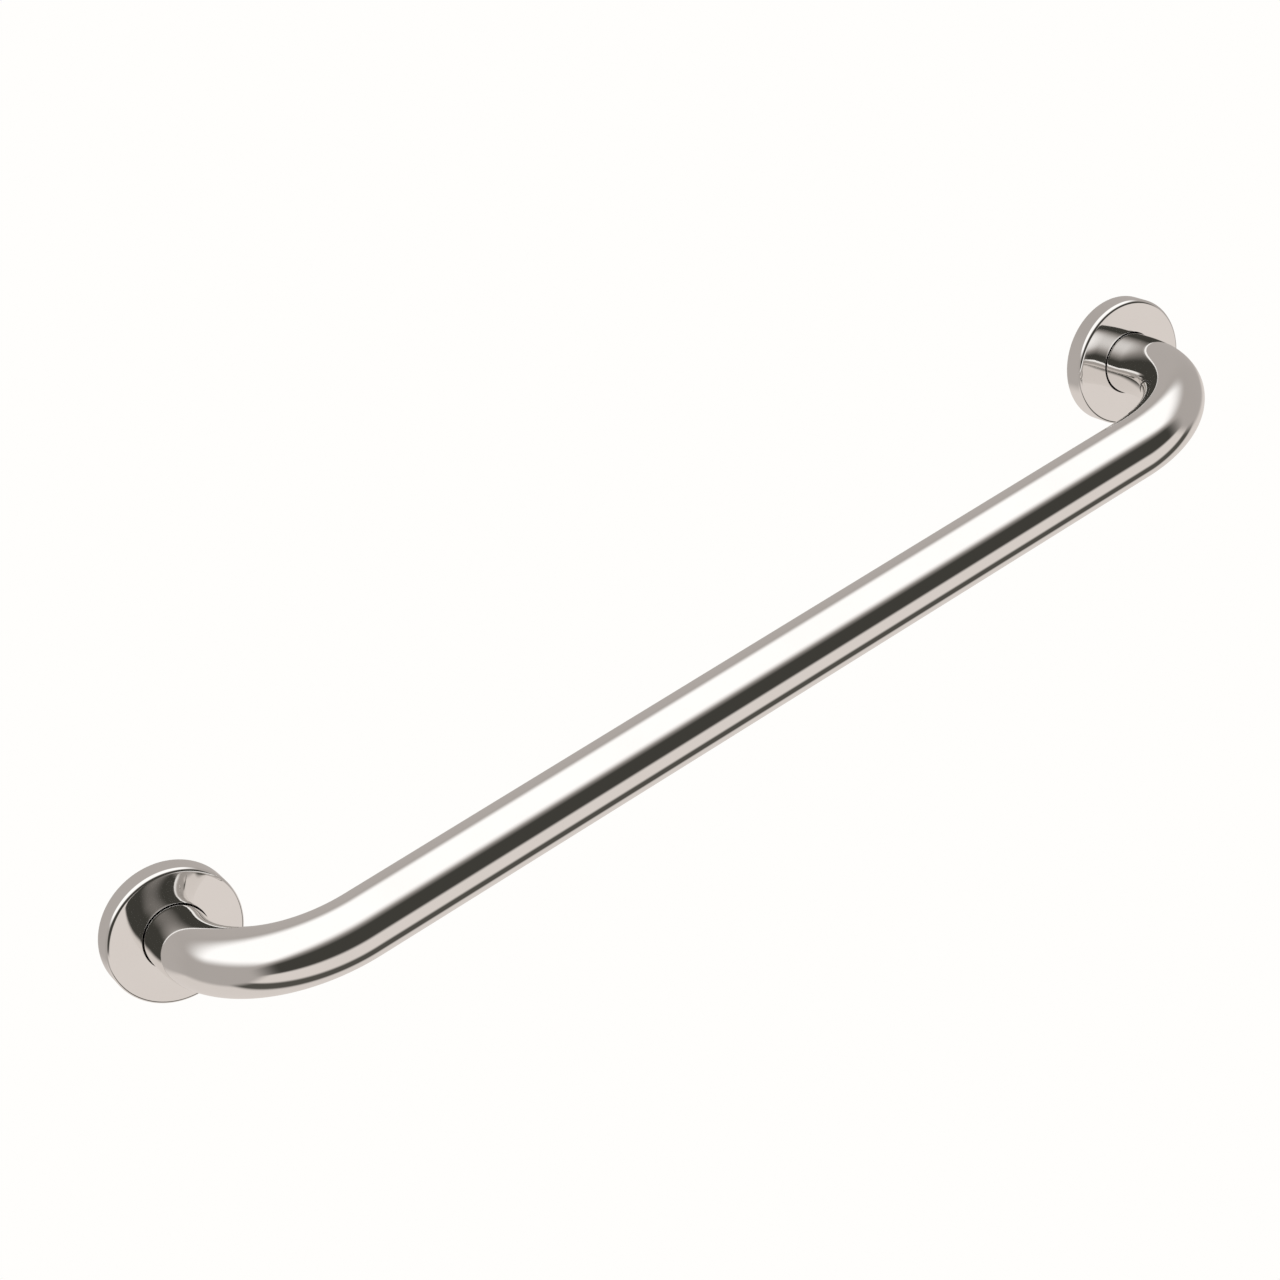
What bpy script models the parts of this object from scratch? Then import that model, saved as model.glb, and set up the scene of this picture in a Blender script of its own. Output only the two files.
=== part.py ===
"""Grab rail: a bent round tube welded into two base plates, with a sliding cover over each plate.

The frame is that of the rail on its wall. X runs along the rail, Y = 0 is the wall, the rail stands
off towards -Y, and Z is up. The origin is on the wall, midway between the two bases.
"""

import math

import bmesh
import bpy
from mathutils import Matrix, Vector

GAP = 0.0003  # left between pieces that touch

# Tube
TUBE_RADIUS = 0.0125
TUBE_WALL = 0.0015
CENTRES = 0.457  # from the middle of one leg to the middle of the other
PROJECTION = 0.066  # from the wall to the middle of the hand bar
BEND_RADIUS = 0.050  # to the middle of the tube

# Base plate, and the gasket between it and the wall
GASKET_RADIUS = 0.0248
GASKET_BORE_RADIUS = 0.0110
GASKET_THICKNESS = 0.0010
GASKET_HOLE_RADIUS = 0.0026
PLATE_RADIUS = 0.0251
PLATE_THICKNESS = 0.0030
PLATE_HOLE_RADIUS = 0.0024
COUNTERSINK_RADIUS = 0.0044
SCREW_CIRCLE_RADIUS = 0.0194
SCREW_ANGLES = (90.0, 210.0, 330.0)  # round the leg, from +X towards +Z

# Fillet weld between the leg and the front of the plate
WELD_LEG = 0.0020
WELD_TOE = 0.0002
WELD_THROAT = 0.55  # share of the leg at the middle of the bead's face

# Flange cover, a pressed cup that slides along the leg
COVER_RADIUS = 0.0263
COVER_DEPTH = 0.0085
COVER_SHEET = 0.0008
COVER_EDGE_RADIUS = 0.0016
COVER_HOLE_RADIUS = 0.0129

# Countersunk self-tapping screw with a six-lobe socket
SCREW_LENGTH = 0.0130
SCREW_HEAD_RADIUS = 0.00405
SCREW_RIM = 0.0002
SCREW_THREAD_RADIUS = 0.0021
SCREW_POINT_LENGTH = 0.0040
SCREW_TIP_RADIUS = 0.0003
SOCKET_RADIUS = 0.00175
SOCKET_LOBE = 0.00022
SOCKET_LOBES = 6
SOCKET_DEPTH = 0.0013

# Facets
TUBE_SIDES = 48
COVER_SIDES = 48
SCREW_SIDES = 24
DRILL_SIDES = 20
BEND_STEPS = 16
EDGE_STEPS = 5
SHARP_ANGLE = math.radians(35.0)

PLATE_BACK = -(GASKET_THICKNESS + GAP)
PLATE_FRONT = PLATE_BACK - PLATE_THICKNESS
BEND_START = BEND_RADIUS - PROJECTION  # Y where each straight leg meets its bend
SIDES = {"left": -1, "right": 1}


def clear_scene():
    for item in list(bpy.data.objects):
        bpy.data.objects.remove(item, do_unlink=True)


def material(name, colour, roughness, metallic):
    made = bpy.data.materials.new(name)
    made.use_nodes = True
    shader = made.node_tree.nodes["Principled BSDF"]
    shader.inputs["Base Color"].default_value = (*colour, 1.0)
    shader.inputs["Roughness"].default_value = roughness
    shader.inputs["Metallic"].default_value = metallic
    return made


def verts_of(geometry):
    return [item for item in geometry if isinstance(item, bmesh.types.BMVert)]


def edges_of(geometry):
    return [item for item in geometry if isinstance(item, bmesh.types.BMEdge)]


def new_object(name, bm, finish, place=(0.0, 0.0, 0.0)):
    """An object made from the bmesh, with its faces pointing out and its round sides smooth."""
    bmesh.ops.recalc_face_normals(bm, faces=bm.faces)
    mesh = bpy.data.meshes.new(name)
    bm.to_mesh(mesh)
    bm.free()
    mesh.shade_smooth()
    mesh.set_sharp_from_angle(angle=SHARP_ANGLE)
    mesh.materials.append(finish)
    made = bpy.data.objects.new(name, mesh)
    made.location = place
    bpy.context.scene.collection.objects.link(made)
    return made


def leg_place(side):
    """The middle of a base, on the wall. A base's pieces have their own axis along Y there."""
    return Vector((SIDES[side] * CENTRES / 2, 0.0, 0.0))


def screw_places(side):
    for angle in SCREW_ANGLES:
        turn = math.radians(angle)
        outwards = Vector((math.cos(turn), 0.0, math.sin(turn)))
        yield leg_place(side) + outwards * SCREW_CIRCLE_RADIUS


def turned(profile, sides, closed=True):
    """The profile of (distance from the axis, Y) points, turned a full circle about the Y axis.

    A closed profile makes a ring. The two ends of an open one are closed by flat discs.
    """
    bm = bmesh.new()
    corners = [bm.verts.new((radius, y, 0.0)) for radius, y in profile]
    followers = corners[1:] + corners[:1] if closed else corners[1:]
    outline = [bm.edges.new(pair) for pair in zip(corners, followers)]
    bmesh.ops.spin(
        bm,
        geom=corners + outline,
        axis=(0.0, 1.0, 0.0),
        cent=(0.0, 0.0, 0.0),
        angle=math.tau,
        steps=sides,
        use_merge=True,
    )
    ends = [edge for edge in bm.edges if edge.is_boundary]
    bmesh.ops.holes_fill(bm, edges=ends, sides=sides)
    return bm


def corner(radius, y, size, reverse=False):
    """A quarter round in a profile, about (radius, y), from its outer side to its front."""
    points = []
    for step in range(EDGE_STEPS + 1):
        angle = math.pi / 2 * step / EDGE_STEPS
        points.append((radius + size * math.cos(angle), y - size * math.sin(angle)))
    return points[::-1] if reverse else points


def run_straight(bm, rim, travel):
    made = bmesh.ops.extrude_edge_only(bm, edges=rim)["geom"]
    bmesh.ops.translate(bm, verts=verts_of(made), vec=travel)
    return [edge for edge in edges_of(made) if edge.is_boundary]


def run_bend(bm, rim, side):
    """A quarter turn from the leg into the hand bar on the left, or back out of it on the right."""
    centre = leg_place(side) + Vector((-SIDES[side] * BEND_RADIUS, BEND_START, 0.0))
    made = bmesh.ops.spin(
        bm,
        geom=rim,
        axis=(0.0, 0.0, 1.0),
        cent=centre,
        angle=math.pi / 2,
        steps=BEND_STEPS,
    )
    return edges_of(made["geom_last"])


def rail_tube(finish):
    """One length of tube: leg, bend, hand bar, bend, leg, open at both ends."""
    bm = bmesh.new()
    start = Matrix.Translation(leg_place("left") + Vector((0.0, PLATE_BACK, 0.0)))
    upright = Matrix.Rotation(math.pi / 2, 4, "X")
    bmesh.ops.create_circle(bm, segments=TUBE_SIDES, radius=TUBE_RADIUS, matrix=start @ upright)
    leg = Vector((0.0, PLATE_BACK - BEND_START, 0.0))
    bar = Vector((CENTRES - 2 * BEND_RADIUS, 0.0, 0.0))
    rim = run_straight(bm, list(bm.edges), -leg)
    rim = run_bend(bm, rim, "left")
    rim = run_straight(bm, rim, bar)
    rim = run_bend(bm, rim, "right")
    run_straight(bm, rim, leg)
    tube = new_object("rail_tube", bm, finish)
    wall = tube.modifiers.new("wall", "SOLIDIFY")
    wall.thickness = TUBE_WALL
    wall.offset = -1.0
    wall.use_even_offset = True


def weld_bead(side, finish):
    """A ring of weld in the corner between the leg and the front of the plate."""
    inner = TUBE_RADIUS + GAP
    foot = PLATE_FRONT - GAP
    middle = WELD_LEG * WELD_THROAT
    profile = [
        (inner, foot),
        (inner + WELD_LEG, foot),
        (inner + WELD_LEG, foot - WELD_TOE),
        (inner + middle, foot - middle),
        (inner + WELD_TOE, foot - WELD_LEG),
        (inner, foot - WELD_LEG),
    ]
    new_object(f"weld_bead_{side}", turned(profile, TUBE_SIDES), finish, leg_place(side))


def drill(piece, profile, side):
    """Cuts the three screw holes, with cutters turned from the profile."""
    for number, place in enumerate(screw_places(side), start=1):
        shape = turned(profile, DRILL_SIDES, closed=False)
        cutter = new_object(f"{piece.name}_drill_{number}", shape, piece.active_material, place)
        cutter.hide_render = True
        cutter.display_type = "WIRE"
        hole = piece.modifiers.new(f"hole_{number}", "BOOLEAN")
        hole.operation = "DIFFERENCE"
        hole.solver = "EXACT"
        hole.object = cutter


def base_gasket(side, finish):
    profile = [
        (GASKET_BORE_RADIUS, 0.0),
        (GASKET_RADIUS, 0.0),
        (GASKET_RADIUS, -GASKET_THICKNESS),
        (GASKET_BORE_RADIUS, -GASKET_THICKNESS),
    ]
    gasket = new_object(f"base_gasket_{side}", turned(profile, COVER_SIDES), finish, leg_place(side))
    through = [
        (GASKET_HOLE_RADIUS, GASKET_THICKNESS),
        (GASKET_HOLE_RADIUS, -2 * GASKET_THICKNESS),
    ]
    drill(gasket, through, side)


def base_plate(side, finish):
    """The welded plate: a disc with a hole for the leg and three countersunk screw holes."""
    bore = TUBE_RADIUS + GAP
    profile = [
        (bore, PLATE_BACK),
        (PLATE_RADIUS, PLATE_BACK),
        (PLATE_RADIUS, PLATE_FRONT),
        (bore, PLATE_FRONT),
    ]
    plate = new_object(f"base_plate_{side}", turned(profile, COVER_SIDES), finish, leg_place(side))
    sink_depth = COUNTERSINK_RADIUS - PLATE_HOLE_RADIUS  # the countersink is a 90 degree cone
    clear = PLATE_THICKNESS / 2  # how far the drill reaches past each face
    countersunk = [
        (PLATE_HOLE_RADIUS, PLATE_BACK + clear),
        (PLATE_HOLE_RADIUS, PLATE_FRONT + sink_depth),
        (COUNTERSINK_RADIUS, PLATE_FRONT),
        (COUNTERSINK_RADIUS, PLATE_FRONT - clear),
    ]
    drill(plate, countersunk, side)


def screw_mesh():
    """A screw whose head's flat is at the origin and whose point is towards +Y."""
    neck = SCREW_HEAD_RADIUS - SCREW_THREAD_RADIUS + SCREW_RIM
    profile = [
        (SCREW_HEAD_RADIUS, 0.0),
        (SCREW_HEAD_RADIUS, SCREW_RIM),
        (SCREW_THREAD_RADIUS, neck),
        (SCREW_THREAD_RADIUS, SCREW_LENGTH - SCREW_POINT_LENGTH),
        (SCREW_TIP_RADIUS, SCREW_LENGTH),
    ]
    bm = turned(profile, SCREW_SIDES, closed=False)
    head = min(bm.faces, key=lambda face: face.calc_center_median().y)
    bmesh.ops.inset_region(bm, faces=[head], thickness=SCREW_HEAD_RADIUS - SOCKET_RADIUS)
    for vert in head.verts:
        turn = math.atan2(vert.co.z, vert.co.x)
        reach = SOCKET_RADIUS + SOCKET_LOBE * math.cos(SOCKET_LOBES * turn)
        vert.co = Vector((math.cos(turn), 0.0, math.sin(turn))) * reach
    floor = bmesh.ops.extrude_face_region(bm, geom=[head])["geom"]
    bmesh.ops.translate(bm, verts=verts_of(floor), vec=(0.0, SOCKET_DEPTH, 0.0))
    bmesh.ops.delete(bm, geom=[head], context="FACES_ONLY")
    return bm


def fixing_screws(side, finish):
    first = None
    for number, place in enumerate(screw_places(side), start=1):
        name = f"fixing_screw_{side}_{number}"
        seat = place + Vector((0.0, PLATE_FRONT, 0.0))
        if first is None:
            first = new_object(name, screw_mesh(), finish, seat)
        else:
            copy = bpy.data.objects.new(name, first.data)
            copy.location = seat
            bpy.context.scene.collection.objects.link(copy)


def flange_cover(side, finish):
    """The pressed cup over the plate. Its rim meets the wall and it slides out along the leg."""
    edge_y = COVER_EDGE_RADIUS - COVER_DEPTH
    edge_radius = COVER_RADIUS - COVER_EDGE_RADIUS
    outside = corner(edge_radius, edge_y, COVER_EDGE_RADIUS)
    inside = corner(edge_radius, edge_y, COVER_EDGE_RADIUS - COVER_SHEET, reverse=True)
    profile = [
        (COVER_RADIUS, 0.0),
        *outside,
        (COVER_HOLE_RADIUS, -COVER_DEPTH),
        (COVER_HOLE_RADIUS, COVER_SHEET - COVER_DEPTH),
        *inside,
        (COVER_RADIUS - COVER_SHEET, 0.0),
    ]
    new_object(f"flange_cover_{side}", turned(profile, COVER_SIDES), finish, leg_place(side))


def main():
    clear_scene()
    polished = material("polished_steel", (0.78, 0.77, 0.75), 0.05, 1.0)
    milled = material("plate_steel", (0.56, 0.56, 0.55), 0.35, 1.0)
    welded = material("weld_steel", (0.42, 0.40, 0.38), 0.45, 1.0)
    screws = material("screw_steel", (0.62, 0.62, 0.61), 0.28, 1.0)
    rubber = material("gasket_rubber", (0.03, 0.03, 0.03), 0.80, 0.0)
    rail_tube(polished)
    for side in SIDES:
        base_gasket(side, rubber)
        base_plate(side, milled)
        weld_bead(side, welded)
        fixing_screws(side, screws)
        flange_cover(side, polished)


main()
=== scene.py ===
"""The grab rail's look: fine pieces in place of the faceted nodes, their materials, and a white studio.

The frame is the model's own. X runs along the rail, Y = 0 is the wall, the rail stands off towards
-Y, and Z is up. Lengths are in metres.
"""

import math

import bmesh
import bpy
from mathutils import Matrix, Vector


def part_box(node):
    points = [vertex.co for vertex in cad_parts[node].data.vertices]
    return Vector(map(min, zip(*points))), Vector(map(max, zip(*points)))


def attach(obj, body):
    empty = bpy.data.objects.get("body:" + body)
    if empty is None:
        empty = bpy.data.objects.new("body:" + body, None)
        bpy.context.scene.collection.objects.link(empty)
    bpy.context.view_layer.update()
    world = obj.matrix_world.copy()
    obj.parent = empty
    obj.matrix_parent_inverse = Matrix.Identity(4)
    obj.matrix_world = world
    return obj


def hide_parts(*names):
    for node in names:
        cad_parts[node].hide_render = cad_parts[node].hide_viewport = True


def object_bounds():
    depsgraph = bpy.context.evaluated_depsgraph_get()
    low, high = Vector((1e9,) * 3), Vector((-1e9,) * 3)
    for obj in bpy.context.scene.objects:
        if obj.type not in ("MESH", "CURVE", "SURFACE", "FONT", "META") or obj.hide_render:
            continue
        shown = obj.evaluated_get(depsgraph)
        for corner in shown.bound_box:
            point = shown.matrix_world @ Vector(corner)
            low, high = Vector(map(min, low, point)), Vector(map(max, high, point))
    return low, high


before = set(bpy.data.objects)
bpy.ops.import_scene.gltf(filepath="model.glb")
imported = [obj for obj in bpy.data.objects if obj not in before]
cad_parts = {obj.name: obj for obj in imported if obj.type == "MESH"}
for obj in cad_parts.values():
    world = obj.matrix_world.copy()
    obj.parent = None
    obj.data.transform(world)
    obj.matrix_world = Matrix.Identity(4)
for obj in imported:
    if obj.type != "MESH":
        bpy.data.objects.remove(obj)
cad_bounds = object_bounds()

SIDES = ("left", "right")
MM = 0.001

# Sizes that a node's box doesn't give. Bores, holes, necks and sockets are radii.
TUBE_WALL = 1.5 * MM
BEND_RADIUS = 50 * MM
COVER_SHEET = 0.8 * MM
COVER_EDGE = 1.6 * MM
COVER_HOLE = 12.9 * MM
PLATE_BORE = 12.8 * MM
GASKET_BORE = 11.0 * MM
GASKET_HOLE = 2.6 * MM
SCREW_HOLE = 2.4 * MM
COUNTERSINK = 4.4 * MM
SCREW_RIM = 0.2 * MM
SCREW_NECK = 1.8 * MM
SCREW_CORE = 1.55 * MM
SCREW_CREST = 2.1 * MM
SCREW_PITCH = 1.4 * MM
SCREW_TAPER = 4.0 * MM
SOCKET_RADIUS = 1.75 * MM
SOCKET_LOBE = 0.22 * MM
SOCKET_DEPTH = 1.3 * MM
SOCKET_LOBES = 6
BURR = 0.15 * MM
TUBE_LIP = 0.25 * MM
PLATE_EDGE = 0.35 * MM
PLATE_LIP = 0.15 * MM
GASKET_EDGE = 0.2 * MM
CUT_PAST = 1 * MM

# Fineness of the meshes
SHARP = math.radians(32.0)
TUBE_SIDES = 144
BEND_STEPS = 72
STRAIGHT_STEP = 2.5 * MM
COVER_SIDES = 240
LONGEST_LINE = 1.2 * MM
LINE_SPLITS = (0.06, 0.25, 0.5, 0.75, 0.94)
PLATE_SIDES = 192
DRILL_SIDES = 64
SCREW_SIDES = 72
THREAD_STEPS = 48
WELD_STEPS = 540
WELD_POINTS = 12
WELD_RIPPLES = 58

# A drill is turned by this share of one of its sides, so that none of its points lands on an edge of
# the piece that it cuts. Points of the cut piece this near to each other, in millimetres, are merged.
DRILL_PHASE = 0.37
MERGE = 0.001

# Camera, at the photograph's viewing angle
CAMERA_PLACE = Vector((-0.3599, -0.8286, 0.4947))
CAMERA_AZIMUTH = math.radians(-22.46)
CAMERA_ELEVATION = math.radians(28.81)
CAMERA_ROLL = math.radians(19.69)
CAMERA_LENS = 74.4
SENSOR_WIDTH = 36.0

# Studio. White is what the camera sees behind the rail and below it.
WHITE = (1.0, 0.991, 0.974)
FLOOR_DROP = 0.30
FLOOR_SIZE = 12.0


# ---------------------------------------------------------------- nodes


class Nodes:
    """A short way to write a node tree."""

    def __init__(self, tree):
        self.tree = tree

    def add(self, kind, inputs=None, **settings):
        node = self.tree.nodes.new(kind)
        for key, value in settings.items():
            setattr(node, key, value)
        for key, value in (inputs or {}).items():
            self.feed(node.inputs[key], value)
        return node

    def feed(self, socket, value):
        if isinstance(value, bpy.types.NodeSocket):
            self.tree.links.new(value, socket)
        else:
            socket.default_value = value

    def math(self, operation, *values):
        node = self.add("ShaderNodeMath", operation=operation)
        for socket, value in zip(node.inputs, values):
            self.feed(socket, value)
        return node.outputs[0]

    def vector(self, operation, *values):
        node = self.add("ShaderNodeVectorMath", operation=operation)
        for socket, value in zip(node.inputs, values):
            self.feed(socket, value)
        return node

    def dot(self, first, second):
        return self.vector("DOT_PRODUCT", first, second).outputs["Value"]

    def span(self, value, low, high, start=0.0, end=1.0, smooth=False):
        node = self.add("ShaderNodeMapRange", interpolation_type="SMOOTHSTEP" if smooth else "LINEAR")
        for socket, item in zip(node.inputs, (value, low, high, start, end)):
            self.feed(socket, item)
        return node.outputs[0]

    def mix(self, share, first, second):
        node = self.add("ShaderNodeMix", data_type="RGBA")
        self.feed(node.inputs[0], share)
        self.feed(node.inputs[6], first)
        self.feed(node.inputs[7], second)
        return node.outputs[2]

    def noise(self, where, scale, detail=3.0, roughness=0.5):
        node = self.add(
            "ShaderNodeTexNoise",
            {"Vector": where, "Scale": scale, "Detail": detail, "Roughness": roughness},
        )
        return node.outputs["Fac"]


# ---------------------------------------------------------------- studio


def camera_axes():
    """Unit vectors to the camera's right, upwards in its picture, and from the scene to it."""
    level = Vector((math.cos(CAMERA_AZIMUTH), math.sin(CAMERA_AZIMUTH), 0.0))
    back = Vector(
        (
            math.sin(CAMERA_AZIMUTH) * math.cos(CAMERA_ELEVATION),
            -math.cos(CAMERA_AZIMUTH) * math.cos(CAMERA_ELEVATION),
            math.sin(CAMERA_ELEVATION),
        )
    )
    upright = back.cross(level)
    right = level * math.cos(CAMERA_ROLL) - upright * math.sin(CAMERA_ROLL)
    return right, back.cross(right), back


def make_camera():
    right, up, back = camera_axes()
    camera = bpy.data.objects.new("camera", bpy.data.cameras.new("camera"))
    camera.data.lens = CAMERA_LENS
    camera.data.sensor_width = SENSOR_WIDTH
    camera.data.clip_end = 50.0
    turn = Matrix((right, up, back)).transposed().to_4x4()
    camera.matrix_world = Matrix.Translation(CAMERA_PLACE) @ turn
    bpy.context.scene.collection.objects.link(camera)
    bpy.context.scene.camera = camera


# The mirror finish shows a light rig: a long soft box, grey screens and black flags that
# run along the rail in a grey room. Each has a name, its angle round the rail, where 0 is straight
# ahead of the wall, 90 is overhead and 180 is behind the wall, half its height and the softness of its
# edge, in degrees, its brightness and its tint. A later one stands in front of an earlier one.
GREY = (1.09, 1.0, 0.94)
DARK = (1.05, 1.0, 0.86)
PLAIN = (1.02, 1.0, 0.985)
ROOM = 0.40
HALF_LENGTH = 60
LEAST_SOFTNESS = 0.5
LIGHT_RIG = (
    ("screen_behind", 190, 50, 8, 0.42, GREY),
    ("overhead_box", 85, 42, 10, 1.12, PLAIN),
    ("black_flag", 5, 28, 10, 0.05, DARK),
    ("front_screen", -42, 22, 5, 0.68, GREY),
    ("lower_flag", -75, 14, 6, 0.08, DARK),
    ("table", -120, 30, 6, 0.65, GREY),
)


def soft_box_group():
    """How much of a soft box is seen in a direction: 1 inside it, 0 outside it."""
    tree = bpy.data.node_groups.new("soft_box", "ShaderNodeTree")
    face = tree.interface
    for name in ("Direction", "Facing", "Across", "Upwards"):
        face.new_socket(name, in_out="INPUT", socket_type="NodeSocketVector")
    for name in ("Half Width", "Half Height", "Softness"):
        face.new_socket(name, in_out="INPUT", socket_type="NodeSocketFloat")
    face.new_socket("Share", in_out="OUTPUT", socket_type="NodeSocketFloat")
    n = Nodes(tree)
    given = n.add("NodeGroupInput").outputs
    depth = n.dot(given["Direction"], given["Facing"])
    shares = []
    for axis, half in (("Across", "Half Width"), ("Upwards", "Half Height")):
        aside = n.math("ABSOLUTE", n.dot(given["Direction"], given[axis]))
        angle = n.math("ARCTAN2", aside, depth)
        inner = n.math("SUBTRACT", given[half], given["Softness"])
        outer = n.math("ADD", given[half], given["Softness"])
        shares.append(n.span(angle, inner, outer, 1.0, 0.0, smooth=True))
    made = n.add("NodeGroupOutput")
    n.feed(made.inputs["Share"], n.math("MULTIPLY", *shares))
    return tree


def make_studio():
    """The camera sees plain white, and the reflections see the room and the light rig."""
    world = bpy.data.worlds.new("studio")
    world.use_nodes = True
    bpy.context.scene.world = world
    n = Nodes(world.node_tree)
    world.node_tree.nodes.clear()
    group = soft_box_group()
    towards = n.add("ShaderNodeTexCoord").outputs["Generated"]
    light = (*(ROOM * tint for tint in GREY), 1.0)
    for name, angle, height, soft, level, tint in LIGHT_RIG:
        a = math.radians(angle)
        box = n.add("ShaderNodeGroup", node_tree=group, label=name)
        values = {
            "Direction": towards,
            "Facing": Vector((0.0, -math.cos(a), math.sin(a))),
            "Across": Vector((1.0, 0.0, 0.0)),
            "Upwards": Vector((0.0, math.sin(a), math.cos(a))),
            "Half Width": math.radians(HALF_LENGTH),
            "Half Height": math.radians(height),
            "Softness": math.radians(soft + LEAST_SOFTNESS),
        }
        for key, value in values.items():
            n.feed(box.inputs[key], value)
        light = n.mix(box.outputs["Share"], light, (*(level * part for part in tint), 1.0))
    studio = n.add("ShaderNodeBackground", {"Color": light})
    backdrop = n.add("ShaderNodeBackground", {"Color": (*WHITE, 1.0)})
    seen = n.add("ShaderNodeLightPath").outputs["Is Camera Ray"]
    both = n.add("ShaderNodeMixShader")
    n.feed(both.inputs[0], seen)
    n.feed(both.inputs[1], studio.outputs[0])
    n.feed(both.inputs[2], backdrop.outputs[0])
    n.add("ShaderNodeOutputWorld", {"Surface": both.outputs[0]})


def make_floor():
    """A plain floor that the camera sees and nothing else does."""
    low = cad_bounds[0]
    bm = bmesh.new()
    place = Matrix.Translation((0.0, 0.0, low[2] - FLOOR_DROP))
    bmesh.ops.create_grid(bm, x_segments=8, y_segments=8, size=FLOOR_SIZE / 2, matrix=place)
    floor = link("floor", bm, floor_material(), None)
    floor.visible_glossy = False
    floor.visible_diffuse = False
    floor.visible_shadow = False


def floor_material():
    made = bpy.data.materials.new("floor_white")
    made.use_nodes = True
    shader = made.node_tree.nodes["Principled BSDF"]
    shader.inputs["Base Color"].default_value = (0.0, 0.0, 0.0, 1.0)
    shader.inputs["Specular IOR Level"].default_value = 0.0
    shader.inputs["Emission Color"].default_value = (*WHITE, 1.0)
    shader.inputs["Emission Strength"].default_value = 1.0
    return made


# ---------------------------------------------------------------- meshes


def link(name, bm, finish, body, *nodes, slot=None):
    """An object made from the bmesh. It rides on the body and stands for the nodes."""
    bmesh.ops.recalc_face_normals(bm, faces=bm.faces)
    mesh = bpy.data.meshes.new(name)
    bm.to_mesh(mesh)
    bm.free()
    mesh.shade_smooth()
    mesh.set_sharp_from_angle(angle=SHARP)
    mesh.materials.append(finish)
    made = bpy.data.objects.new(name, mesh)
    bpy.context.scene.collection.objects.link(made)
    if body:
        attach(made, body)
        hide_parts(*nodes)
    return made


def grid(bm, rows, close_rows=False, close_columns=True):
    """Quads between rows of points. The last row, and each row's last point, can join the first."""
    made = [[bm.verts.new(point) for point in row] for row in rows]
    pairs = list(zip(made, made[1:] + made[:1] if close_rows else made[1:]))
    for near, far in pairs:
        count = len(near)
        for i in range(count if close_columns else count - 1):
            j = (i + 1) % count
            bm.faces.new((near[i], near[j], far[j], far[i]))
    return made


def arc(centre_radius, centre_y, size, start, end, steps):
    """Points of a profile, (distance from the axis, Y), on an arc. Degrees run from outwards to +Y."""
    points = []
    for step in range(steps + 1):
        angle = math.radians(start + (end - start) * step / steps)
        points.append((centre_radius + size * math.cos(angle), centre_y + size * math.sin(angle)))
    return points


def refined(profile):
    """A closed profile whose longer lines are split, so that a round edge next to a flat stays true."""
    points = []
    for (r0, y0), (r1, y1) in zip(profile, profile[1:] + profile[:1]):
        length = math.hypot(r1 - r0, y1 - y0)
        points.append((r0, y0))
        if length > LONGEST_LINE:
            points += [(r0 + (r1 - r0) * s, y0 + (y1 - y0) * s) for s in LINE_SPLITS]
    return points


def turned(profile, sides, centre):
    """A closed profile of (distance from the axis, Y) turned about an axis along Y through centre."""
    bm = bmesh.new()
    rows = []
    for radius, y in profile:
        row = []
        for i in range(sides):
            angle = math.tau * i / sides
            row.append(centre + Vector((radius * math.cos(angle), y, radius * math.sin(angle))))
        rows.append(row)
    grid(bm, rows, close_rows=True)
    return bm


def node_radius(node):
    low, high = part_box(node)
    return (high.z - low.z) / 2


def node_middle(node, y=0.0):
    low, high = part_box(node)
    return Vector(((low.x + high.x) / 2, y, (low.z + high.z) / 2))


# ---------------------------------------------------------------- rail tube


def tube_line():
    """The tube's middle line, (point, direction) from the left end to the right end, and its radius."""
    low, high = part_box("rail_tube")
    radius = node_radius("rail_tube")
    end_x = high.x - radius
    bar_y = low.y + radius
    back_y = high.y
    turn_y = bar_y + BEND_RADIUS
    turn_x = end_x - BEND_RADIUS
    leg = back_y - turn_y
    line = []
    steps = round(leg / STRAIGHT_STEP)
    for i in range(steps):
        line.append((Vector((-end_x, back_y - leg * i / steps, 0.0)), Vector((0.0, -1.0, 0.0))))
    for i in range(BEND_STEPS):
        a = math.pi / 2 * i / BEND_STEPS
        place = Vector((-turn_x - BEND_RADIUS * math.cos(a), turn_y - BEND_RADIUS * math.sin(a), 0.0))
        line.append((place, Vector((math.sin(a), -math.cos(a), 0.0))))
    steps = round(turn_x / STRAIGHT_STEP)
    for i in range(steps):
        line.append((Vector((-turn_x * (1 - i / steps), bar_y, 0.0)), Vector((1.0, 0.0, 0.0))))
    line.append((Vector((0.0, bar_y, 0.0)), Vector((1.0, 0.0, 0.0))))
    mirrored = [
        (Vector((-place.x, place.y, 0.0)), Vector((way.x, -way.y, 0.0))) for place, way in line[-2::-1]
    ]
    return line + mirrored, radius


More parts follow.
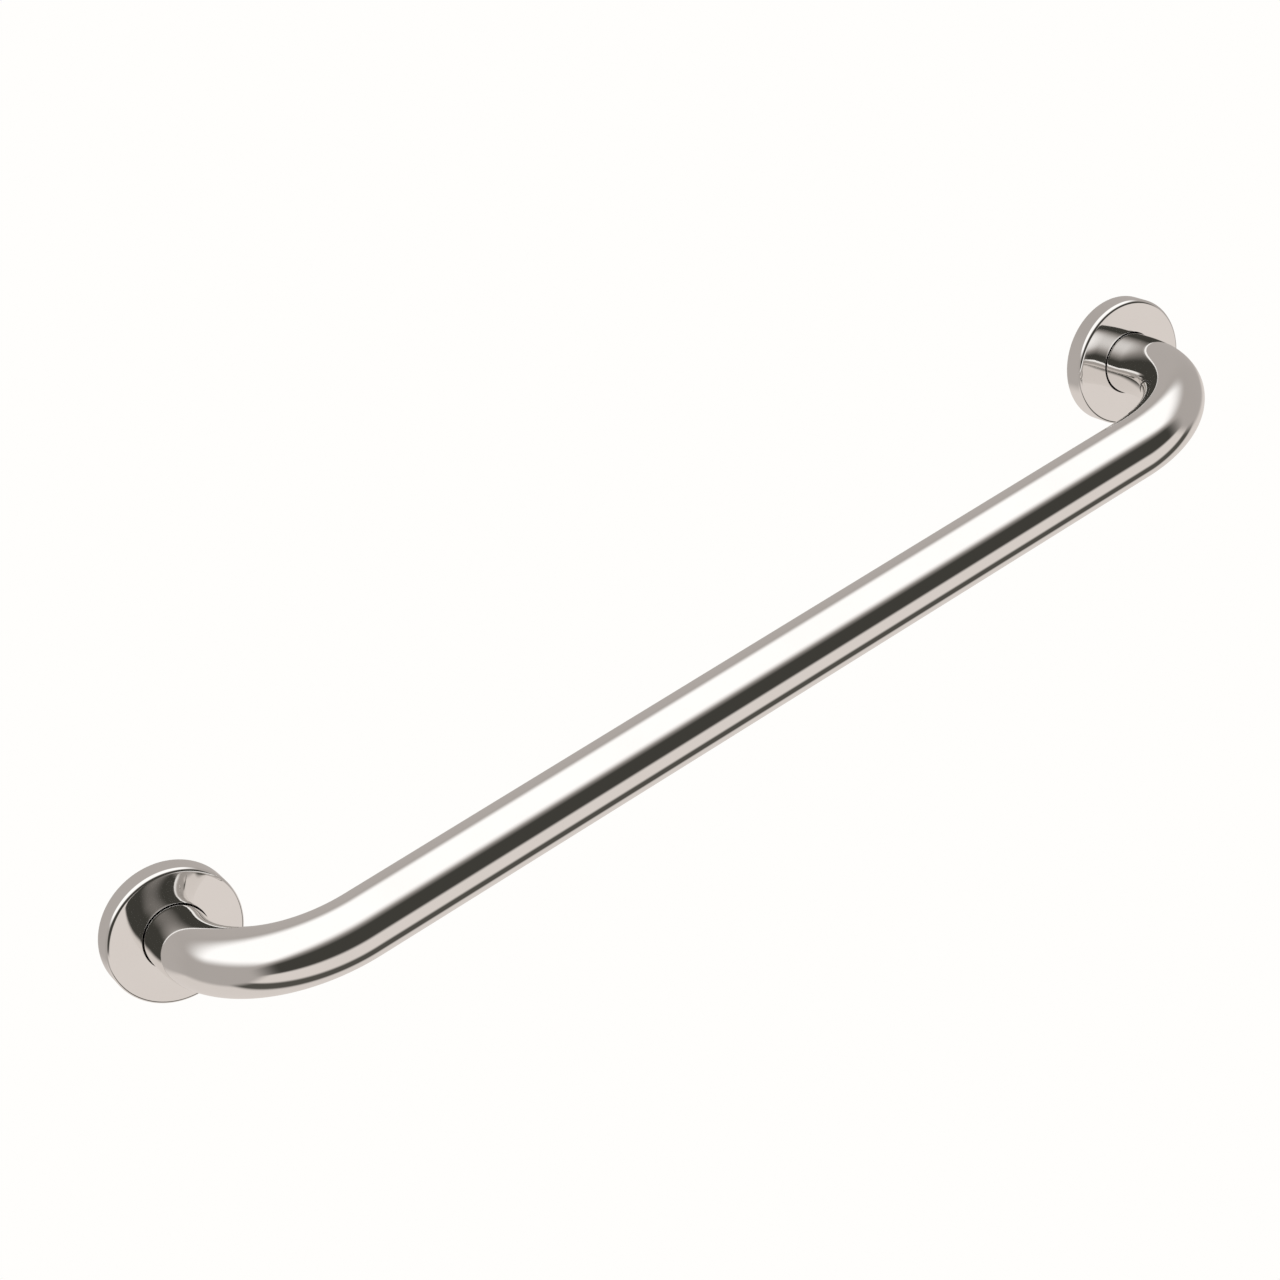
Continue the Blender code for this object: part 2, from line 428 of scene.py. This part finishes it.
def make_rail_tube(finish, inside):
    """One length of bent tube, open at both ends, with a deburred lip."""
    line, radius = tube_line()
    bore = radius - TUBE_WALL
    lip = TUBE_LIP
    shoulder = 0.3 * lip

    def ring(station, size, shift=0.0):
        place, way = station
        aside = Vector((0.0, 0.0, 1.0)).cross(way)
        row = []
        for i in range(TUBE_SIDES):
            angle = math.tau * i / TUBE_SIDES
            reach = aside * math.cos(angle) + Vector((0.0, 0.0, math.sin(angle)))
            row.append(place + way * shift + reach * size)
        return row

    start, end = line[0], line[-1]
    outside = [
        ring(start, radius - lip),
        ring(start, radius - shoulder, shoulder),
        ring(start, radius, lip),
        *(ring(station, radius) for station in line[1:-1]),
        ring(end, radius, -lip),
        ring(end, radius - shoulder, -shoulder),
        ring(end, radius - lip),
    ]
    hidden = [
        ring(end, bore + lip),
        ring(end, bore, -lip),
        *(ring(station, bore) for station in line[-2:0:-1]),
        ring(start, bore, lip),
        ring(start, bore + lip),
    ]
    bm = bmesh.new()
    grid(bm, outside + hidden, close_rows=True)
    made = link("grab_rail_tube", bm, finish, "rail", "rail_tube", slot="polished_steel")
    made.data.materials.append(inside)
    first_inside = (len(outside) - 1) * TUBE_SIDES
    for face in made.data.polygons[first_inside:]:
        face.material_index = 1
    return made


# ---------------------------------------------------------------- base and cover


def make_cover(side, finish, inside):
    """The pressed cup over the plate, with a rounded edge and a deburred hole."""
    node = f"flange_cover_{side}"
    low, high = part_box(node)
    radius, front, back = node_radius(node), low.y, high.y
    edge_r, edge_y = radius - COVER_EDGE, front + COVER_EDGE
    inner = COVER_EDGE - COVER_SHEET
    mouth = COVER_HOLE + BURR
    outside = [
        *arc(radius - BURR, back - BURR, BURR, 90, 0, 5),
        *arc(edge_r, edge_y, COVER_EDGE, 0, -90, 20),
        *arc(mouth, front + BURR, BURR, 270, 180, 6),
    ]
    hidden = [
        *arc(mouth, front + COVER_SHEET - BURR, BURR, 180, 90, 6),
        *arc(edge_r, edge_y, inner, -90, 0, 14),
        *arc(radius - COVER_SHEET + BURR, back - BURR, BURR, 180, 90, 5),
    ]
    profile = refined(outside + hidden)
    bm = turned(profile, COVER_SIDES, node_middle(node))
    made = link(f"cover_shell_{side}", bm, finish, f"cover_{side}", node, slot="polished_steel")
    made.data.materials.append(inside)
    centre = node_middle(node, front)
    skin = 0.6 * COVER_SHEET
    for face in made.data.polygons:
        middle = face.center - centre
        reach = math.hypot(middle.x, middle.z)
        if reach < radius - skin and middle.y > skin:
            face.material_index = 1
    return made


def solid(profile, sides, centre, phase=0.0):
    """An open profile of (distance from the axis, Y), turned and closed by a face at each end.

    A distance can be a function of the angle. Each ring starts the phase, in sides, away from +X.
    """
    bm = bmesh.new()
    rows = []
    for reach, y in profile:
        row = []
        for i in range(sides):
            angle = math.tau * (i + phase) / sides
            r = reach(angle) if callable(reach) else reach
            row.append(centre + Vector((r * math.cos(angle), y, r * math.sin(angle))))
        rows.append(row)
    made = grid(bm, rows)
    bm.faces.new(made[0])
    bm.faces.new(made[-1])
    return bm


def drill(profile, centre):
    """A cutter for one hole, longer than the hole at both ends."""
    return solid(profile, DRILL_SIDES, centre, DRILL_PHASE)


def drilled(bm, cutters, centre):
    """The bmesh less the cutters, moved to the centre.

    All are given about the origin and are cut in millimetres, because numbers round finer there.
    """
    for part in (bm, *cutters):
        part.transform(Matrix.Scale(1 / MM, 4))
    piece = bare_object(bm)
    for number, cutter in enumerate(cutters):
        hole = piece.modifiers.new(f"hole_{number}", "BOOLEAN")
        hole.operation = "DIFFERENCE"
        hole.solver = "EXACT"
        hole.object = bare_object(cutter)
    result = bmesh.new()
    result.from_object(piece, bpy.context.evaluated_depsgraph_get())
    for modifier in piece.modifiers:
        bpy.data.objects.remove(modifier.object)
    bpy.data.objects.remove(piece)
    bmesh.ops.remove_doubles(result, verts=result.verts, dist=MERGE)
    result.transform(Matrix.Translation(centre) @ Matrix.Scale(MM, 4))
    return result


def bare_object(bm):
    """An object for a cut, with no material. It is removed once the cut is made."""
    bmesh.ops.recalc_face_normals(bm, faces=bm.faces)
    mesh = bpy.data.meshes.new("cut")
    bm.to_mesh(mesh)
    bm.free()
    made = bpy.data.objects.new("cut", mesh)
    bpy.context.scene.collection.objects.link(made)
    return made


def screw_names(side):
    return [f"fixing_screw_{side}_{number}" for number in (1, 2, 3)]


def make_plate(side, finish):
    """The disc that is welded to the tube and screwed to the wall, with its countersunk holes."""
    node = f"base_plate_{side}"
    low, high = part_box(node)
    radius, front, back = node_radius(node), low.y, high.y
    round_edge = PLATE_EDGE
    profile = [
        (PLATE_BORE, back),
        (radius - round_edge, back),
        *arc(radius - round_edge, back - round_edge, round_edge, 90, 0, 5)[1:],
        *arc(radius - round_edge, front + round_edge, round_edge, 0, -90, 5),
        (PLATE_BORE, front),
    ]
    centre = node_middle(node)
    bm = turned(profile, PLATE_SIDES, Vector())
    lip = PLATE_LIP
    sink = [
        (SCREW_HOLE, back + CUT_PAST),
        (SCREW_HOLE, front + COUNTERSINK - SCREW_HOLE),
        (COUNTERSINK - lip, front + lip),
        (COUNTERSINK + lip, front - 0.15 * lip),
        (COUNTERSINK + lip, front - CUT_PAST),
    ]
    cutters = [drill(sink, node_middle(name) - centre) for name in screw_names(side)]
    bm = drilled(bm, cutters, centre)
    return link(f"mounting_plate_{side}", bm, finish, "rail", node, slot="plate_steel")


def make_gasket(side, finish):
    """The rubber ring between the plate and the wall, with a tight hole for each screw."""
    node = f"base_gasket_{side}"
    low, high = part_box(node)
    radius, front, back = node_radius(node), low.y, high.y
    round_edge = GASKET_EDGE
    profile = [
        (GASKET_BORE, back),
        (radius - round_edge, back),
        *arc(radius - round_edge, back - round_edge, round_edge, 90, 0, 4)[1:],
        *arc(radius - round_edge, front + round_edge, round_edge, 0, -90, 4),
        (GASKET_BORE, front),
    ]
    centre = node_middle(node)
    bm = turned(profile, PLATE_SIDES, Vector())
    hole = [(GASKET_HOLE, front - CUT_PAST), (GASKET_HOLE, back + CUT_PAST)]
    cutters = [drill(hole, node_middle(name) - centre) for name in screw_names(side)]
    bm = drilled(bm, cutters, centre)
    return link(f"wall_gasket_{side}", bm, finish, "rail", node, slot="gasket_rubber")


def make_weld(side, finish):
    """The bead in the corner between the leg and the plate, with its overlapping ripples."""
    node = f"weld_bead_{side}"
    low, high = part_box(node)
    outer, foot = node_radius(node), high.y
    leg = high.y - low.y
    inner = outer - leg
    centre = node_middle(node)
    rows = []
    for step in range(WELD_STEPS):
        angle = math.tau * step / WELD_STEPS
        wander = 0.04 * math.sin(3 * angle + 0.7) + 0.03 * math.sin(7 * angle + 2.1)
        row = [(inner, foot)]
        for i in range(WELD_POINTS + 1):
            s = i / WELD_POINTS
            belly = 4 * s * (1 - s)
            crest = math.sin(WELD_RIPPLES * angle / 2 + 1.1 * belly + 0.25 * wander)
            lift = belly * (0.12 * abs(crest) - 0.06 + wander)
            across = 1 - s + 0.05 * belly + 0.5 * lift
            along = s + 0.05 * belly + 0.5 * lift
            row.append((inner + leg * (0.04 + 0.94 * across), foot - leg * (0.04 + 0.94 * along)))
        row.append((inner, row[-1][1]))
        aim = (math.cos(angle), math.sin(angle))
        rows.append([centre + Vector((r * aim[0], y, r * aim[1])) for r, y in row])
    bm = bmesh.new()
    grid(bm, rows, close_rows=True)
    return link(f"fillet_weld_{side}", bm, finish, "rail", node, slot="weld_steel")


def lobed(size):
    """The outline of the six-lobe socket, as a radius for each angle."""
    return lambda angle: size * (SOCKET_RADIUS + SOCKET_LOBE * math.cos(SOCKET_LOBES * angle))


def make_screw(node, finish):
    """A countersunk self-tapping screw: six-lobe socket, cone under the head, cut thread, point."""
    low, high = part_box(node)
    top, point = low.y, high.y
    head = node_radius(node)
    neck = top + SCREW_RIM + head - SCREW_NECK
    taper = point - SCREW_TAPER
    centre = node_middle(node)
    profile = [
        (0.2 * MM, top + SOCKET_DEPTH + 0.25 * MM),
        (lobed(0.86), top + SOCKET_DEPTH),
        (lobed(0.96), top + SOCKET_DEPTH - 0.12 * MM),
        (lobed(0.98), top + 0.14 * MM),
        (lobed(1.07), top),
        (head - 0.45 * MM, top),
        (head - 0.08 * MM, top + 0.02 * MM),
        (head, top + 0.09 * MM),
        (head, top + SCREW_RIM),
        (SCREW_NECK, neck),
        (SCREW_CORE + 0.06 * MM, neck + 0.12 * MM),
        (SCREW_CORE, neck + 0.3 * MM),
        (SCREW_CORE, taper),
        (SCREW_CORE * 0.45, taper + 0.62 * SCREW_TAPER),
        (0.12 * MM, point - 0.08 * MM),
        (0.04 * MM, point),
    ]
    bm = solid(profile, SCREW_SIDES, centre)
    turns = (point - 0.5 * MM - neck) / SCREW_PITCH
    steps = round(turns * THREAD_STEPS)
    rows = []
    for step in range(steps + 1):
        angle = math.tau * step / THREAD_STEPS
        y = neck + SCREW_PITCH * step / THREAD_STEPS
        ease = min(1.0, step / (0.5 * THREAD_STEPS), (steps - step) / (0.8 * THREAD_STEPS) + 0.02)
        slim = max(0.0, min(1.0, (point - y) / SCREW_TAPER))
        root = SCREW_CORE * min(1.0, 0.12 + 0.88 * slim) - 0.08 * MM
        crest = root + 0.08 * MM + (SCREW_CREST - SCREW_CORE) * ease * min(1.0, 0.45 + 0.55 * slim)
        half = 0.34 * MM * (0.35 + 0.65 * ease)
        section = ((root, -half), (crest, -0.03 * MM), (crest, 0.03 * MM), (root, half))
        aim = (math.cos(angle), math.sin(angle))
        rows.append([centre + Vector((r * aim[0], y + d, r * aim[1])) for r, d in section])
    made = grid(bm, rows)
    bm.faces.new(made[0])
    bm.faces.new(made[-1])
    return link(node.replace("fixing", "countersunk"), bm, finish, "rail", node, slot="screw_steel")


# ---------------------------------------------------------------- materials


def material(name, colour, roughness, metallic=1.0):
    made = bpy.data.materials.new(name)
    made.use_nodes = True
    shader = made.node_tree.nodes["Principled BSDF"]
    shader.inputs["Base Color"].default_value = (*colour, 1.0)
    shader.inputs["Roughness"].default_value = roughness
    shader.inputs["Metallic"].default_value = metallic
    n = Nodes(made.node_tree)
    return made, shader, n, n.add("ShaderNodeTexCoord").outputs["Object"]


def bump(n, shader, height, distance, strength=1.0):
    node = n.add("ShaderNodeBump", {"Height": height, "Distance": distance, "Strength": strength})
    n.feed(shader.inputs["Normal"], node.outputs[0])


def from_leg(n, where):
    """A point's distance from the middle of its own leg, in metres. Both bases share it."""
    parts = n.add("ShaderNodeSeparateXYZ", {0: where}).outputs
    aside = n.math("SUBTRACT", n.math("ABSOLUTE", parts[0]), node_middle("flange_cover_right").x)
    squares = n.math("ADD", n.math("MULTIPLY", aside, aside), n.math("MULTIPLY", parts[2], parts[2]))
    return n.math("SQRT", squares)


def polished_steel():
    """Mirror-polished tube and covers: hair-fine polishing lines, faint smudges, a hint of waviness."""
    made, shader, n, where = material("polished_steel", (0.90, 0.895, 0.885), 0.03)
    smudge = n.noise(where, 38.0, 4.0, 0.6)
    lines = n.noise(n.vector("MULTIPLY", where, (2600.0, 240.0, 240.0)).outputs[0], 1.0, 2.0, 0.5)
    rough = n.math("ADD", n.span(smudge, 0.40, 0.72, 0.022, 0.050), n.span(lines, 0.3, 0.8, -0.004, 0.010))
    n.feed(shader.inputs["Roughness"], rough)
    film = n.mix(n.span(smudge, 0.35, 0.75), (0.905, 0.900, 0.890, 1.0), (0.885, 0.878, 0.866, 1.0))
    n.feed(shader.inputs["Base Color"], film)
    wave = n.noise(where, 55.0, 1.0, 0.4)
    bump(n, shader, n.math("ADD", wave, n.math("MULTIPLY", lines, 0.012)), 0.03 * MM, 0.25)
    return made


def inner_steel():
    """The unpolished inside of the tube and covers: satin, with drawing marks and faint staining."""
    made, shader, n, where = material("inner_steel", (0.55, 0.54, 0.52), 0.35)
    marks = n.noise(n.vector("MULTIPLY", where, (900.0, 60.0, 900.0)).outputs[0], 1.0, 3.0, 0.6)
    stain = n.noise(where, 120.0, 4.0, 0.6)
    n.feed(shader.inputs["Base Color"], n.mix(stain, (0.44, 0.42, 0.39, 1.0), (0.62, 0.61, 0.59, 1.0)))
    n.feed(shader.inputs["Roughness"], n.span(marks, 0.2, 0.8, 0.26, 0.5))
    bump(n, shader, marks, 0.02 * MM, 0.5)
    return made


def plate_steel():
    """Blanked plate with circular facing marks, and straw to blue heat tint round the weld."""
    made, shader, n, where = material("plate_steel", (0.56, 0.56, 0.55), 0.32)
    reach = from_leg(n, where)
    rings = n.noise(
        n.add("ShaderNodeCombineXYZ", {0: n.math("MULTIPLY", reach, 5200.0), 1: 0.0}).outputs[0],
        1.0,
        3.0,
        0.65,
    )
    grain = n.noise(where, 900.0, 3.0, 0.6)
    patch = n.noise(where, 160.0, 3.0, 0.55)
    steel = n.mix(rings, (0.49, 0.49, 0.48, 1.0), (0.63, 0.63, 0.62, 1.0))
    wander = n.math("ADD", reach, n.math("MULTIPLY", n.math("SUBTRACT", patch, 0.5), 0.0022))
    straw = n.mix(n.span(wander, 0.0185, 0.0205, smooth=True), (0.58, 0.43, 0.24, 1.0), steel)
    blue = n.mix(n.span(wander, 0.0160, 0.0178, smooth=True), (0.20, 0.24, 0.40, 1.0), straw)
    n.feed(shader.inputs["Base Color"], blue)
    n.feed(shader.inputs["Roughness"], n.span(grain, 0.25, 0.75, 0.26, 0.42))
    bump(n, shader, n.math("ADD", rings, n.math("MULTIPLY", grain, 0.4)), 0.012 * MM, 0.6)
    return made


def weld_steel():
    """Weld metal: grey steel with brown and blue oxide in noise patches, and a grainy skin."""
    made, shader, n, where = material("weld_steel", (0.42, 0.40, 0.38), 0.40)
    skin = n.noise(where, 1500.0, 4.0, 0.6)
    oxide = n.noise(where, 420.0, 3.0, 0.6)
    warm = n.mix(n.span(oxide, 0.35, 0.65), (0.50, 0.46, 0.41, 1.0), (0.33, 0.25, 0.18, 1.0))
    tint = n.mix(n.span(n.noise(where, 230.0, 2.0, 0.5), 0.5, 0.7), warm, (0.24, 0.28, 0.40, 1.0))
    n.feed(shader.inputs["Base Color"], tint)
    n.feed(shader.inputs["Roughness"], n.span(skin, 0.25, 0.75, 0.3, 0.55))
    bump(n, shader, skin, 0.03 * MM, 0.7)
    return made


def screw_steel():
    """Plain stainless screws: fine turning marks and a duller, slightly darker patina in places."""
    made, shader, n, where = material("screw_steel", (0.62, 0.62, 0.61), 0.26)
    marks = n.noise(n.vector("MULTIPLY", where, (500.0, 5200.0, 500.0)).outputs[0], 1.0, 2.0, 0.5)
    patch = n.noise(where, 700.0, 4.0, 0.6)
    n.feed(shader.inputs["Base Color"], n.mix(patch, (0.50, 0.50, 0.49, 1.0), (0.70, 0.70, 0.69, 1.0)))
    n.feed(shader.inputs["Roughness"], n.span(patch, 0.3, 0.7, 0.2, 0.36))
    bump(n, shader, marks, 0.01 * MM, 0.5)
    return made


def gasket_rubber():
    """Matt moulded rubber with a fine grain, paler where it is rubbed."""
    made, shader, n, where = material("gasket_rubber", (0.03, 0.03, 0.03), 0.75, 0.0)
    grain = n.noise(where, 3200.0, 3.0, 0.6)
    bloom = n.noise(where, 140.0, 4.0, 0.6)
    n.feed(shader.inputs["Base Color"], n.mix(bloom, (0.018, 0.018, 0.019, 1.0), (0.050, 0.049, 0.047, 1.0)))
    n.feed(shader.inputs["Roughness"], n.span(bloom, 0.3, 0.7, 0.62, 0.82))
    bump(n, shader, grain, 0.05 * MM, 0.6)
    return made


def main():
    bpy.context.scene.view_settings.view_transform = "Standard"
    make_camera()
    make_studio()
    make_floor()
    chrome, satin = polished_steel(), inner_steel()
    plate, weld = plate_steel(), weld_steel()
    screws, rubber = screw_steel(), gasket_rubber()
    make_rail_tube(chrome, satin)
    for side in SIDES:
        make_gasket(side, rubber)
        make_plate(side, plate)
        make_weld(side, weld)
        make_cover(side, chrome, satin)
        for name in screw_names(side):
            make_screw(name, screws)


main()
